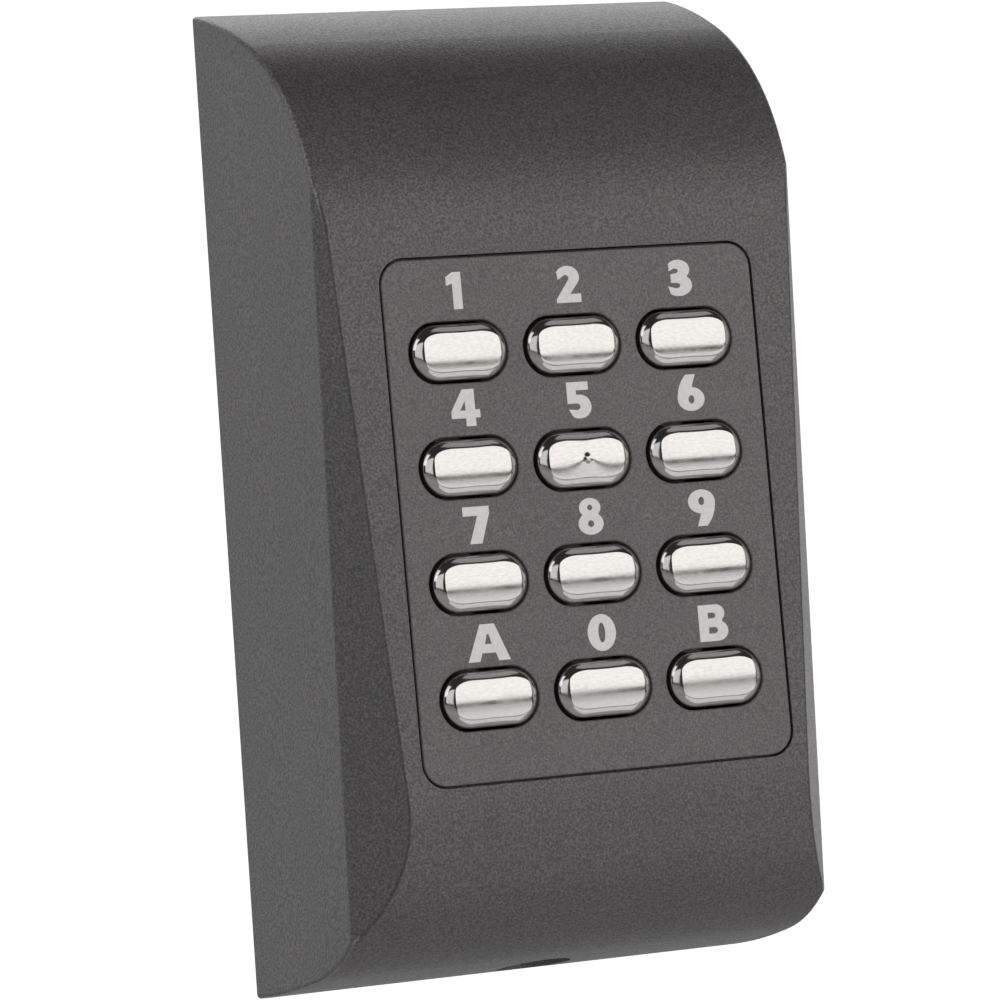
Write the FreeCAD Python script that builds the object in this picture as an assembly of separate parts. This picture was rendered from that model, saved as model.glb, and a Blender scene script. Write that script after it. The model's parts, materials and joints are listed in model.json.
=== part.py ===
import FreeCAD, Part
import math
import os

# Wall-mounted keypad reader. Millimetres. +Z is up, the wall is the plane Y = 0, the face looks towards -Y,
# and the origin is the centre of the footprint on the wall.

# Housing
HEIGHT = 92.0
WIDTH = 51.0
WALL = 2.2
FACE_DEPTH = 23.75
FACE_TILT = math.radians(3.0)
TOP_EDGE_ANGLE = math.radians(79.0)
TOP_BIG_RADIUS = 42.0
TOP_SMALL_RADIUS = 21.5
BOTTOM_EDGE_ANGLE = math.radians(85.0)
BOTTOM_BIG_RADIUS = 75.0
BOTTOM_SMALL_RADIUS = 16.3
SIDE_DRAFT = 0.5 / 20.5
FACET_SLOPE = 0.79
FACET_TOP_DEPTH = 21.4
FACET_TOP_HEIGHT = 27.0
FACET_BOTTOM_DEPTH = 19.75
FACET_BOTTOM_HEIGHT = -39.9
EDGE_ROUND = 0.45

# Keypad panel, laid out in the plane of the face: x across, up the face from mid height, out from the face
PANEL_WIDTH = 38.54
PANEL_HEIGHT = 47.9
PANEL_ACROSS = 0.2
PANEL_UP = -2.2
PANEL_THICK = 1.5
PANEL_CORNER = 2.3
PANEL_GAP = 0.22
PANEL_EDGE_ROUND = 0.15
LEDGE_THICK = 1.2
LEDGE_WIDTH = 1.55
LEDGE_HEIGHT = 3.1
PAD_MARGIN = 1.6

# Keys
KEY_NAMES = [["1", "2", "3"], ["4", "5", "6"], ["7", "8", "9"], ["a", "0", "b"]]
KEY_PITCH_X = 11.8
KEY_PITCH_UP = 10.56
KEY_FIRST_UP = 13.13
KEY_WIDTH = 9.6
KEY_HEIGHT = 5.1
KEY_GAP = 0.28
KEY_RIM = 0.4
KEY_RISE = 0.55
KEY_BEVEL_X = 0.8
KEY_BEVEL_UP = 1.2
KEY_CROWN_RADIUS = 9.5
KEY_FLANGE_WIDTH = 10.9
KEY_FLANGE_HEIGHT = 6.6
KEY_FLANGE_THICK = 0.65
KEY_STEM_WIDTH = 3.4
KEY_STEM_HEIGHT = 2.6
KEY_STEM_LENGTH = 0.4
KEY_NUB_RADIUS = 0.7
KEY_NUB_HEIGHT = 0.3

# Gaps and margins
SLACK = 0.03
FIT_GAP = 0.02
SCREW_CLEARANCE = 0.2
PAST = 1.0
TOLERANCE = 0.01
BIG = 300.0

# Rubber mat and circuit board
MAT_WEB = 0.7
MAT_WIDTH = 35.2
MAT_HEIGHT = 40.6
MAT_CORNER = 2.0
DOME_HEIGHT = 1.3
DOME_FOOT_RADIUS = 3.0
DOME_TOP_RADIUS = 2.2
DOME_SKIN = 0.5
PILL_RADIUS = 1.3
PILL_THICK = 0.4
BOARD_THICK = 1.6
BOARD_WIDTH = 40.4
BOARD_TOP = 28.4
BOARD_BOTTOM = -31.6
BOARD_CORNER = 2.0
BOARD_SCREW_X = 14.5
BOARD_SCREW_TOP = 24.9
BOARD_SCREW_BOTTOM = -28.1
BOARD_SCREW_RADIUS = 0.9
BOARD_SCREW_TIP = -1.9
BOARD_HEAD_RADIUS = 1.9
BOARD_HEAD_THICK = 1.3
BOARD_DRIVE_SIZE = (2.0, 0.5, 0.7)
HEAD_ROUND = 0.5
BOARD_BOSS_RADIUS = 2.1
COIL_WIRE = 0.2
COIL_PITCH = 0.28
COIL_TURNS = 4
COIL_MARGIN = 0.3

# Back plate and its fixings
PLATE_THICK = 2.2
PLATE_HALF_WIDTH = 23.0
PLATE_TOP = 43.1
PLATE_BOTTOM = -43.2
PLATE_CORNER = 1.2
WALL_SLOT_SPACING = 60.0
WALL_SLOT_RADIUS = 2.1
WALL_SLOT_LENGTH = 7.6
CABLE_HEIGHT = 13.0
CABLE_RADIUS = 2.6
GROMMET_RADIUS = 4.4
GROMMET_REAR = 0.8
GROMMET_FRONT = 1.2
GROMMET_NECK_RADIUS = 3.6
HOOK_X = 13.0
HOOK_WIDTH = 6.0
HOOK_REACH = 1.3
HOOK_THICK = 1.2
HOOK_LEVEL = 0.6
HOOK_CLEARANCE = 0.3
GASKET_WIDTH = 1.6
GASKET_THICK = 0.9
GASKET_MARGIN = 1.6
GASKET_CORNER = 2.6
LOCK_DEPTH = 7.2
LOCK_RECESS_RADIUS = 3.6
LOCK_BOSS_RADIUS = 4.7
LOCK_SEAT = -42.6
LOCK_SEAT_THICK = 1.6
LOCK_SCREW_RADIUS = 1.5
LOCK_HEAD_RADIUS = 2.75
LOCK_HEAD_THICK = 1.7
LOCK_DRIVE_RADIUS = 1.2
LOCK_DRIVE_DEPTH = 1.0
LOCK_SCREW_LENGTH = 6.2
LUG_HALF_WIDTH = 4.4
LUG_HEIGHT = 5.6
LUG_OUT = 9.2
LUG_LOW = LOCK_SEAT + LOCK_SEAT_THICK + 0.2
INSERT_RADIUS = 2.3
INSERT_LENGTH = 4.6
RIM_HALF_WIDTH = 22.4
RIM_TOP = 41.6
RIM_BOTTOM = -41.9
RIM_THICK = 1.0
RIM_OUT = 2.6
RIM_CORNER = 1.6
RIM_GAP_WIDTH = 11.4
RIM_GAP_HEIGHT = 6.0
POST_RADIUS = 2.2
POST_GAP = 0.15

# Components on the back of the board: place across and up, then size across, up and out from the board
CONTROLLER = (9.5, 15.5, 10.0, 10.0, 1.4)
READER_CHIP = (-11.0, 1.0, 7.4, 10.3, 2.3)
REGULATOR = (4.5, -3.5, 6.4, 5.6, 2.2)
CRYSTAL = (0.0, 5.5, 10.4, 4.4, 3.4)
CRYSTAL_BRIM = 0.4
CRYSTAL_BRIM_THICK = 0.5
CAPACITORS = [(13.5, 2.5), (13.5, -5.5)]
CAPACITOR_BASE = 6.6
CAPACITOR_BASE_THICK = 0.9
CAPACITOR_RADIUS = 3.1
CAPACITOR_HEIGHT = 5.6
BUZZER = (-12.0, 17.0)
BUZZER_RADIUS = 5.8
BUZZER_HEIGHT = 5.2
BUZZER_PORT_RADIUS = 1.0
BUZZER_PORT_DEPTH = 1.2
TERMINAL = (0.0, -15.0, 21.6, 7.6, 8.4)
TERMINAL_WAYS = 8
TERMINAL_PITCH = 2.54
ENTRY_RADIUS = 0.9
ENTRY_DEPTH = 4.0
ENTRY_LEVEL = 2.6
CLAMP_RADIUS = 1.0
CLAMP_DOWN = 1.2
CLAMP_DEPTH = 2.6
CLAMP_SUNK = 0.6
CLAMP_SLOT_WIDTH = 0.35
TAMPER = (15.0, -21.0, 6.0, 6.0, 3.4)
PLUNGER_RADIUS = 1.6
PLUNGER_LENGTH = 4.0
PLUNGER_DEEP = 1.2
PLUNGER_GAP = 0.05
PLUNGER_SPACE = 0.5
PLUNGER_TIP_ROUND = 0.4
RESISTORS = 7
RESISTOR_PITCH = 3.0
RESISTOR_UP = -24.5
RESISTOR_SIZE = (1.3, 2.0, 0.6)
CHIP_LIFT = 0.1
CHIP_END_MARGIN = 1.0
LEG_REACH = 1.1
LEG_WIDTH = 0.32
LEG_THICK = 0.35
TAB_REACH = 1.2
TAB_MARGIN = 0.6
TAB_THICK = 0.5
TAB_LEG_PITCH = 4.56
TAB_LEG_WIDTH = 0.8
TAB_LEG_REACH = 1.9

Vector = FreeCAD.Vector
ACROSS = Vector(1, 0, 0)

# Levels in the face frame, measured out from the face
PANEL_BACK = -PANEL_THICK
LEDGE_BACK = PANEL_BACK - LEDGE_THICK
FLANGE_FRONT = PANEL_BACK - SLACK
FLANGE_BACK = FLANGE_FRONT - KEY_FLANGE_THICK
STEM_BACK = FLANGE_BACK - KEY_STEM_LENGTH
DOME_TOP = STEM_BACK - SLACK
WEB_FRONT = DOME_TOP - DOME_HEIGHT
BOARD_FRONT = WEB_FRONT - MAT_WEB
BOARD_BACK = BOARD_FRONT - BOARD_THICK


def outward(angle):
    """Unit direction away from the wall, turned up by an angle."""
    return Vector(0, -math.cos(angle), math.sin(angle))


FACE_NORMAL = outward(FACE_TILT)
FACE_UP = Vector(0, math.sin(FACE_TILT), math.cos(FACE_TILT))
FACE_POINT = Vector(0, -FACE_DEPTH, 0)


def on_face(shape):
    """Moves a shape drawn with x across, y up the face and z out of it onto the tilted face."""
    turn = FreeCAD.Rotation(ACROSS, 90 - math.degrees(FACE_TILT))
    return shape.transformed(FreeCAD.Placement(FACE_POINT, turn).toMatrix())


def from_plate(shape):
    """Moves a shape drawn with x across, y up and z away from the wall onto the wall plane."""
    turn = FreeCAD.Rotation(ACROSS, 90)
    return shape.transformed(FreeCAD.Placement(Vector(0, 0, 0), turn).toMatrix())


def arc(centre, radius, start, end):
    points = [centre + outward(angle) * radius for angle in (start, (start + end) / 2, end)]
    return Part.Arc(*points).toShape()


def shoulder(side, edge_angle, big_radius, small_radius, inset, back):
    """Two tangent arcs from the face to the wall edge, at the top (side 1) or the bottom (side -1).

    Returns their edges, the point where they leave the face and the point where they reach Y = back."""
    edge = Vector(0, 0, side * HEIGHT / 2)
    big_centre = edge - outward(side * edge_angle) * big_radius
    reach = big_radius - small_radius
    step_out = (FACE_POINT - big_centre).dot(FACE_NORMAL) - small_radius
    step_up = side * math.sqrt(reach ** 2 - step_out ** 2)
    small_centre = big_centre + FACE_NORMAL * step_out + FACE_UP * step_up
    join = math.asin((small_centre - big_centre).z / reach)
    big_radius -= inset
    small_radius -= inset
    end = side * math.acos((big_centre.y - back) / big_radius)
    edges = [arc(small_centre, small_radius, FACE_TILT, join), arc(big_centre, big_radius, join, end)]
    face_end = small_centre + FACE_NORMAL * small_radius
    wall_end = big_centre + outward(end) * big_radius
    return edges, face_end, wall_end


def trim(shape, point, normal):
    """Removes what lies beyond a plane."""
    block = Part.makeBox(BIG, BIG, BIG, Vector(-BIG / 2, -BIG / 2, 0))
    block.Placement = FreeCAD.Placement(point, FreeCAD.Rotation(Vector(0, 0, 1), normal))
    return shape.cut(block)


def housing_form(inset, back):
    """The housing's solid form, shrunk by inset, reaching back to Y = back."""
    top = shoulder(1, TOP_EDGE_ANGLE, TOP_BIG_RADIUS, TOP_SMALL_RADIUS, inset, back)
    bottom = shoulder(-1, BOTTOM_EDGE_ANGLE, BOTTOM_BIG_RADIUS, BOTTOM_SMALL_RADIUS, inset, back)
    face_line = Part.LineSegment(bottom[1], top[1]).toShape()
    wall_line = Part.LineSegment(top[2], bottom[2]).toShape()
    outline = Part.Wire(Part.__sortEdges__(bottom[0] + top[0] + [face_line, wall_line]))
    form = Part.Face(outline).extrude(ACROSS * WIDTH * 2)
    form.translate(ACROSS * -WIDTH)
    for side in (-1, 1):
        wall_normal = Vector(side, -SIDE_DRAFT, 0).normalize()
        wall_point = Vector(side * WIDTH / 2, 0, 0)
        form = trim(form, wall_point - wall_normal * inset, wall_normal)
        top_x = side * (WIDTH / 2 - SIDE_DRAFT * FACET_TOP_DEPTH)
        bottom_x = side * (WIDTH / 2 - SIDE_DRAFT * FACET_BOTTOM_DEPTH)
        crease_top = Vector(top_x, -FACET_TOP_DEPTH, FACET_TOP_HEIGHT)
        crease_bottom = Vector(bottom_x, -FACET_BOTTOM_DEPTH, FACET_BOTTOM_HEIGHT)
        down_facet = Vector(-side * FACET_SLOPE, -1, 0)
        facet_normal = (crease_top - crease_bottom).cross(down_facet).normalize() * side
        form = trim(form, crease_top - facet_normal * inset, facet_normal)
    return form


def side_edges(form):
    """Edges where the side walls and facets meet the face and shoulders, and each other."""
    chosen = []
    for edge in form.Edges:
        box = edge.BoundBox
        on_wall = box.YMin > -TOLERANCE
        across = box.XLength > WIDTH / 2
        if not on_wall and not across:
            chosen.append(edge)
    return chosen


def key_places():
    """Name and place, across and up the face, of each key."""
    for row, names in enumerate(KEY_NAMES):
        for column, name in enumerate(names):
            yield name, (column - 1) * KEY_PITCH_X, KEY_FIRST_UP - row * KEY_PITCH_UP


def rounded_wire(width, height, corner, x=0, y=0, z=0):
    """Rounded rectangle in the XY plane; a corner of half the height gives round ends."""
    arcs = []
    for index, (side, end) in enumerate(((1, -1), (1, 1), (-1, 1), (-1, -1))):
        centre = Vector(x + side * (width / 2 - corner), y + end * (height / 2 - corner), z)
        turns = [math.radians(90 * index - 90 + 45 * step) for step in range(3)]
        arcs.append([centre + Vector(math.cos(a), math.sin(a), 0) * corner for a in turns])
    edges = []
    for index, points in enumerate(arcs):
        edges.append(Part.Arc(*points).toShape())
        following = arcs[(index + 1) % 4][0]
        if (following - points[2]).Length > TOLERANCE:
            edges.append(Part.LineSegment(points[2], following).toShape())
    return Part.Wire(edges)


def rounded_block(width, height, corner, low, high, x=0, y=0):
    """Rounded rectangle extruded from z = low to z = high."""
    wire = rounded_wire(width, height, corner, x, y, low)
    return Part.Face(wire).extrude(Vector(0, 0, high - low))


def box(width, height, low, high, x=0, y=0):
    return Part.makeBox(width, height, high - low, Vector(x - width / 2, y - height / 2, low))


def disc(radius, low, high, x=0, y=0):
    return Part.makeCylinder(radius, high - low, Vector(x, y, low))


def rounded_low_end(shape, low, radius):
    """Rounds the edges of a shape that lie at z = low."""
    rim = [edge for edge in shape.Edges if abs(edge.BoundBox.ZMax - low) < TOLERANCE]
    return shape.makeFillet(radius, rim)


def front_cover():
    """Moulded shell, open at the back, with the panel's recess and ledge, and its bosses."""
    form = housing_form(0, 0)
    form = form.makeFillet(EDGE_ROUND, side_edges(form))
    shell = form.cut(housing_form(WALL, PAST))
    opening_width = PANEL_WIDTH + 2 * PANEL_GAP
    opening_height = PANEL_HEIGHT + 2 * PANEL_GAP
    opening_corner = PANEL_CORNER + PANEL_GAP
    inside = -WALL / 2
    pad = rounded_block(
        opening_width + 2 * PAD_MARGIN,
        opening_height + 2 * PAD_MARGIN,
        opening_corner + PAD_MARGIN,
        LEDGE_BACK,
        inside,
        PANEL_ACROSS,
        PANEL_UP,
    )
    added = [on_face(pad)]
    for x, up in board_screw_places():
        added.append(on_face(disc(BOARD_BOSS_RADIUS, BOARD_FRONT, inside, x, up)))
    seat_top = LOCK_SEAT + LOCK_SEAT_THICK
    lock_boss = disc(LOCK_BOSS_RADIUS, -HEIGHT / 2, seat_top, 0, -LOCK_DEPTH)
    added.append(lock_boss.common(form))
    shell = shell.fuse(added)
    recess = rounded_block(
        opening_width, opening_height, opening_corner, PANEL_BACK, PAST, PANEL_ACROSS, PANEL_UP
    )
    window = rounded_block(
        PANEL_WIDTH - 2 * LEDGE_WIDTH,
        PANEL_HEIGHT - 2 * LEDGE_HEIGHT,
        PANEL_CORNER,
        BOARD_FRONT,
        0,
        PANEL_ACROSS,
        PANEL_UP,
    )
    removed = [on_face(recess), on_face(window)]
    for x, up in board_screw_places():
        removed.append(on_face(disc(BOARD_SCREW_RADIUS, BOARD_BACK, BOARD_SCREW_TIP + FIT_GAP, x, up)))
    removed.append(disc(LOCK_RECESS_RADIUS, -HEIGHT, LOCK_SEAT, 0, -LOCK_DEPTH))
    removed.append(disc(LOCK_SCREW_RADIUS + SCREW_CLEARANCE, -HEIGHT, 0, 0, -LOCK_DEPTH))
    for side in (-1, 1):
        pocket = box(
            HOOK_WIDTH + 2 * HOOK_CLEARANCE,
            2 * (HOOK_REACH + HOOK_CLEARANCE),
            HOOK_LEVEL - HOOK_CLEARANCE,
            HOOK_LEVEL + HOOK_THICK + HOOK_CLEARANCE,
            side * HOOK_X,
            PLATE_TOP,
        )
        removed.append(from_plate(pocket))
    return shell.cut(removed).removeSplitter()


def board_screw_places():
    for side in (-1, 1):
        for up in (BOARD_SCREW_TOP, BOARD_SCREW_BOTTOM):
            yield side * BOARD_SCREW_X, up


def keypad_panel():
    """Flat insert with a round-ended hole for each key."""
    panel = rounded_block(PANEL_WIDTH, PANEL_HEIGHT, PANEL_CORNER, PANEL_BACK, 0, PANEL_ACROSS, PANEL_UP)
    hole_width = KEY_WIDTH + 2 * KEY_GAP
    hole_height = KEY_HEIGHT + 2 * KEY_GAP
    holes = [
        rounded_block(hole_width, hole_height, hole_height / 2, PANEL_BACK - PAST, PAST, x, up)
        for name, x, up in key_places()
    ]
    panel = panel.cut(holes)
    front_edges = [edge for edge in panel.Edges if edge.BoundBox.ZMin > -TOLERANCE]
    return on_face(panel.makeFillet(PANEL_EDGE_ROUND, front_edges))


def key(name, x, up):
    """Key cap with a bevelled, slightly crowned top, a retaining flange and a stem behind it."""
    top = KEY_RIM + KEY_RISE
    cap = rounded_block(KEY_WIDTH, KEY_HEIGHT, KEY_HEIGHT / 2, FLANGE_BACK, KEY_RIM)
    foot = rounded_wire(KEY_WIDTH, KEY_HEIGHT, KEY_HEIGHT / 2, z=KEY_RIM)
    plateau_height = KEY_HEIGHT - 2 * KEY_BEVEL_UP
    plateau_width = KEY_WIDTH - 2 * KEY_BEVEL_X
    plateau = rounded_wire(plateau_width, plateau_height, plateau_height / 2, z=top)
    bevel = Part.makeLoft([foot, plateau], True, True)
    crown_end = Vector(-KEY_WIDTH / 2, 0, top - KEY_CROWN_RADIUS)
    crown = Part.makeCylinder(KEY_CROWN_RADIUS, KEY_WIDTH, crown_end, ACROSS)
    flange_corner = KEY_FLANGE_HEIGHT / 2
    flange = rounded_block(KEY_FLANGE_WIDTH, KEY_FLANGE_HEIGHT, flange_corner, FLANGE_BACK, FLANGE_FRONT)
    stem = box(KEY_STEM_WIDTH, KEY_STEM_HEIGHT, STEM_BACK, FLANGE_BACK)
    shape = cap.fuse([bevel.common(crown), flange, stem])
    if name == "5":
        nub_radius = (KEY_NUB_RADIUS ** 2 + KEY_NUB_HEIGHT ** 2) / (2 * KEY_NUB_HEIGHT)
        nub = Part.makeSphere(nub_radius, Vector(0, 0, top + KEY_NUB_HEIGHT - nub_radius))
        shape = shape.fuse(nub.common(disc(KEY_NUB_RADIUS, KEY_RIM, top + PAST)))
    shape = shape.removeSplitter()
    shape.translate(Vector(x, up, 0))
    return on_face(shape)


def pill(x, up):
    """Conductive pad that closes the key's contacts on the board."""
    ceiling = DOME_TOP - DOME_SKIN
    return on_face(disc(PILL_RADIUS, ceiling - PILL_THICK, ceiling, x, up))


def keypad_mat():
    """Rubber sheet with a hollow dome under each key."""
    middle_up = KEY_FIRST_UP - 1.5 * KEY_PITCH_UP
    mat = rounded_block(MAT_WIDTH, MAT_HEIGHT, MAT_CORNER, BOARD_FRONT, WEB_FRONT, 0, middle_up)
    domes = []
    hollows = []
    for name, x, up in key_places():
        dome = Part.makeCone(DOME_FOOT_RADIUS, DOME_TOP_RADIUS, DOME_HEIGHT, Vector(x, up, WEB_FRONT))
        hollow_height = DOME_TOP - DOME_SKIN - BOARD_FRONT
        foot = DOME_FOOT_RADIUS - DOME_SKIN
        hollow = Part.makeCone(foot, DOME_TOP_RADIUS - DOME_SKIN, hollow_height, Vector(x, up, BOARD_FRONT))
        domes.append(dome)
        hollows.append(hollow)
    return on_face(mat.fuse(domes).cut(hollows).removeSplitter())


def main_board():
    height = BOARD_TOP - BOARD_BOTTOM
    middle_up = (BOARD_TOP + BOARD_BOTTOM) / 2
    board = rounded_block(BOARD_WIDTH, height, BOARD_CORNER, BOARD_BACK, BOARD_FRONT, 0, middle_up)
    hole_radius = BOARD_SCREW_RADIUS + SCREW_CLEARANCE
    holes = [disc(hole_radius, BOARD_BACK - PAST, 0, x, up) for x, up in board_screw_places()]
    return on_face(board.cut(holes))


def antenna_coil():
    """Turns of flat wire around the front of the board."""
    height = BOARD_TOP - BOARD_BOTTOM
    middle_up = (BOARD_TOP + BOARD_BOTTOM) / 2
    turns = []
    for turn in range(COIL_TURNS):
        inset = COIL_MARGIN + turn * COIL_PITCH
        outside = rounded_block(
            BOARD_WIDTH - 2 * inset,
            height - 2 * inset,
            BOARD_CORNER - inset + COIL_PITCH,
            BOARD_FRONT,
            BOARD_FRONT + COIL_WIRE,
            0,
            middle_up,
        )
        inset += COIL_WIRE
        inside = rounded_block(
            BOARD_WIDTH - 2 * inset,
            height - 2 * inset,
            BOARD_CORNER - inset + COIL_PITCH,
            BOARD_FRONT - PAST,
            BOARD_FRONT + PAST,
            0,
            middle_up,
        )
        turns.append(on_face(outside.cut(inside)))
    return Part.makeCompound(turns)


def board_block(x, up, width, height, thick, lift=0):
    """Block on the back of the board."""
    return box(width, height, BOARD_BACK - thick, BOARD_BACK - lift, x, up)


def chip(place, leads, across):
    """Moulded chip with gull legs on two sides, or on four when across is set too."""
    x, up, width, height, thick = place
    body = board_block(x, up, width, height, thick, CHIP_LIFT)
    legs = []
    pitch = (height - CHIP_END_MARGIN) / (leads - 1)
    for index in range(leads):
        along = (index - (leads - 1) / 2) * pitch
        legs.append(board_block(x, up + along, width + 2 * LEG_REACH, LEG_WIDTH, LEG_THICK))
        if across:
            legs.append(board_block(x + along, up, LEG_WIDTH, height + 2 * LEG_REACH, LEG_THICK))
    return on_face(body.fuse(legs).removeSplitter())


def voltage_regulator():
    x, up, width, height, thick = REGULATOR
    body = board_block(x, up, width, height, thick)
    tab = board_block(x, up + height / 2, width - 2 * TAB_MARGIN, 2 * TAB_REACH, TAB_THICK)
    legs = []
    for side in (-1, 1):
        leg_x = x + side * TAB_LEG_PITCH / 2
        legs.append(board_block(leg_x, up - height / 2, TAB_LEG_WIDTH, 2 * TAB_LEG_REACH, TAB_THICK))
    return on_face(body.fuse([tab] + legs).removeSplitter())


def crystal():
    x, up, width, height, thick = CRYSTAL
    base_width = width + 2 * CRYSTAL_BRIM
    base_height = height + 2 * CRYSTAL_BRIM
    base_low = BOARD_BACK - CRYSTAL_BRIM_THICK
    base = rounded_block(base_width, base_height, base_height / 2, base_low, BOARD_BACK, x, up)
    can = rounded_block(width, height, height / 2, BOARD_BACK - thick, BOARD_BACK, x, up)
    return on_face(base.fuse(can).removeSplitter())


def capacitors():
    """Two surface-mounted electrolytic cans, each on its square base."""
    made = []
    for x, up in CAPACITORS:
        base = board_block(x, up, CAPACITOR_BASE, CAPACITOR_BASE, CAPACITOR_BASE_THICK)
        can = disc(CAPACITOR_RADIUS, BOARD_BACK - CAPACITOR_HEIGHT, BOARD_BACK, x, up)
        made.append(on_face(base.fuse(can).removeSplitter()))
    return Part.makeCompound(made)


def resistors():
    width, height, thick = RESISTOR_SIZE
    made = []
    for index in range(RESISTORS):
        x = (index - (RESISTORS - 1) / 2) * RESISTOR_PITCH
        made.append(on_face(board_block(x, RESISTOR_UP, width, height, thick)))
    return Part.makeCompound(made)


def buzzer():
    x, up = BUZZER
    low = BOARD_BACK - BUZZER_HEIGHT
    can = disc(BUZZER_RADIUS, low, BOARD_BACK, x, up)
    port = disc(BUZZER_PORT_RADIUS, low - PAST, low + BUZZER_PORT_DEPTH, x, up)
    return on_face(can.cut(port))


def terminal_ways():
    for index in range(TERMINAL_WAYS):
        yield TERMINAL[0] + (index - (TERMINAL_WAYS - 1) / 2) * TERMINAL_PITCH


def cable_terminal():
    """Screw terminal block: wires enter from above, screws face the wall."""
    x, up, width, height, thick = TERMINAL
    block = board_block(x, up, width, height, thick)
    low = BOARD_BACK - thick
    holes = []
    for way in terminal_ways():
        entry_end = Vector(way, up + height / 2 - ENTRY_DEPTH, BOARD_BACK - ENTRY_LEVEL)
        holes.append(Part.makeCylinder(ENTRY_RADIUS, ENTRY_DEPTH + PAST, entry_end, Vector(0, 1, 0)))
        holes.append(disc(CLAMP_RADIUS, low - PAST, low + CLAMP_DEPTH, way, up - CLAMP_DOWN))
    return on_face(block.cut(holes))


def terminal_screws():
    x, up, width, height, thick = TERMINAL
    made = []
    low = BOARD_BACK - thick + CLAMP_SUNK
    high = BOARD_BACK - thick + CLAMP_DEPTH - FIT_GAP
    for way in terminal_ways():
        screw = disc(CLAMP_RADIUS - FIT_GAP, low, high, way, up - CLAMP_DOWN)
        slot = box(2 * CLAMP_RADIUS, CLAMP_SLOT_WIDTH, low - PAST, low + CLAMP_SUNK, way, up - CLAMP_DOWN)
        made.append(on_face(screw.cut(slot)))
    return Part.makeCompound(made)


def tamper_switch():
    x, up, width, height, thick = TAMPER
    body = board_block(x, up, width, height, thick)
    low = BOARD_BACK - thick
    bore = disc(PLUNGER_RADIUS + PLUNGER_GAP, low - PAST, low + PLUNGER_DEEP + PLUNGER_SPACE, x, up)
    return on_face(body.cut(bore))


def plunger_low():
    return BOARD_BACK - TAMPER[4] - PLUNGER_LENGTH


def tamper_plunger():
    """Sprung button of the tamper switch, held in by the post on the back plate."""
    x, up = TAMPER[:2]
    stem = disc(PLUNGER_RADIUS, plunger_low(), plunger_low() + PLUNGER_LENGTH + PLUNGER_DEEP, x, up)
    return on_face(rounded_low_end(stem, plunger_low(), PLUNGER_TIP_ROUND))


def board_screws():
    made = []
    low = BOARD_BACK - BOARD_HEAD_THICK
    length, width, depth = BOARD_DRIVE_SIZE
    for x, up in board_screw_places():
        head = rounded_low_end(disc(BOARD_HEAD_RADIUS, low, BOARD_BACK, x, up), low, HEAD_ROUND)
        shank = disc(BOARD_SCREW_RADIUS - FIT_GAP, BOARD_BACK, BOARD_SCREW_TIP, x, up)
        cross = [
            box(length, width, low - PAST, low + depth, x, up),
            box(width, length, low - PAST, low + depth, x, up),
        ]
        made.append(on_face(head.fuse(shank).cut(cross).removeSplitter()))
    return Part.makeCompound(made)


def gasket_ring():
    """Ring on the back plate's rear face, just inside the plate's edge."""
    height = PLATE_TOP - PLATE_BOTTOM
    middle = (PLATE_TOP + PLATE_BOTTOM) / 2
    outside_width = 2 * (PLATE_HALF_WIDTH - GASKET_MARGIN)
    outside_height = height - 2 * GASKET_MARGIN
    outside = rounded_block(outside_width, outside_height, GASKET_CORNER, 0, GASKET_THICK, 0, middle)
    inside = rounded_block(
        outside_width - 2 * GASKET_WIDTH,
        outside_height - 2 * GASKET_WIDTH,
        GASKET_CORNER - GASKET_WIDTH,
        -PAST,
        GASKET_THICK + PAST,
        0,
        middle,
    )
    return from_plate(outside.cut(inside))


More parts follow.
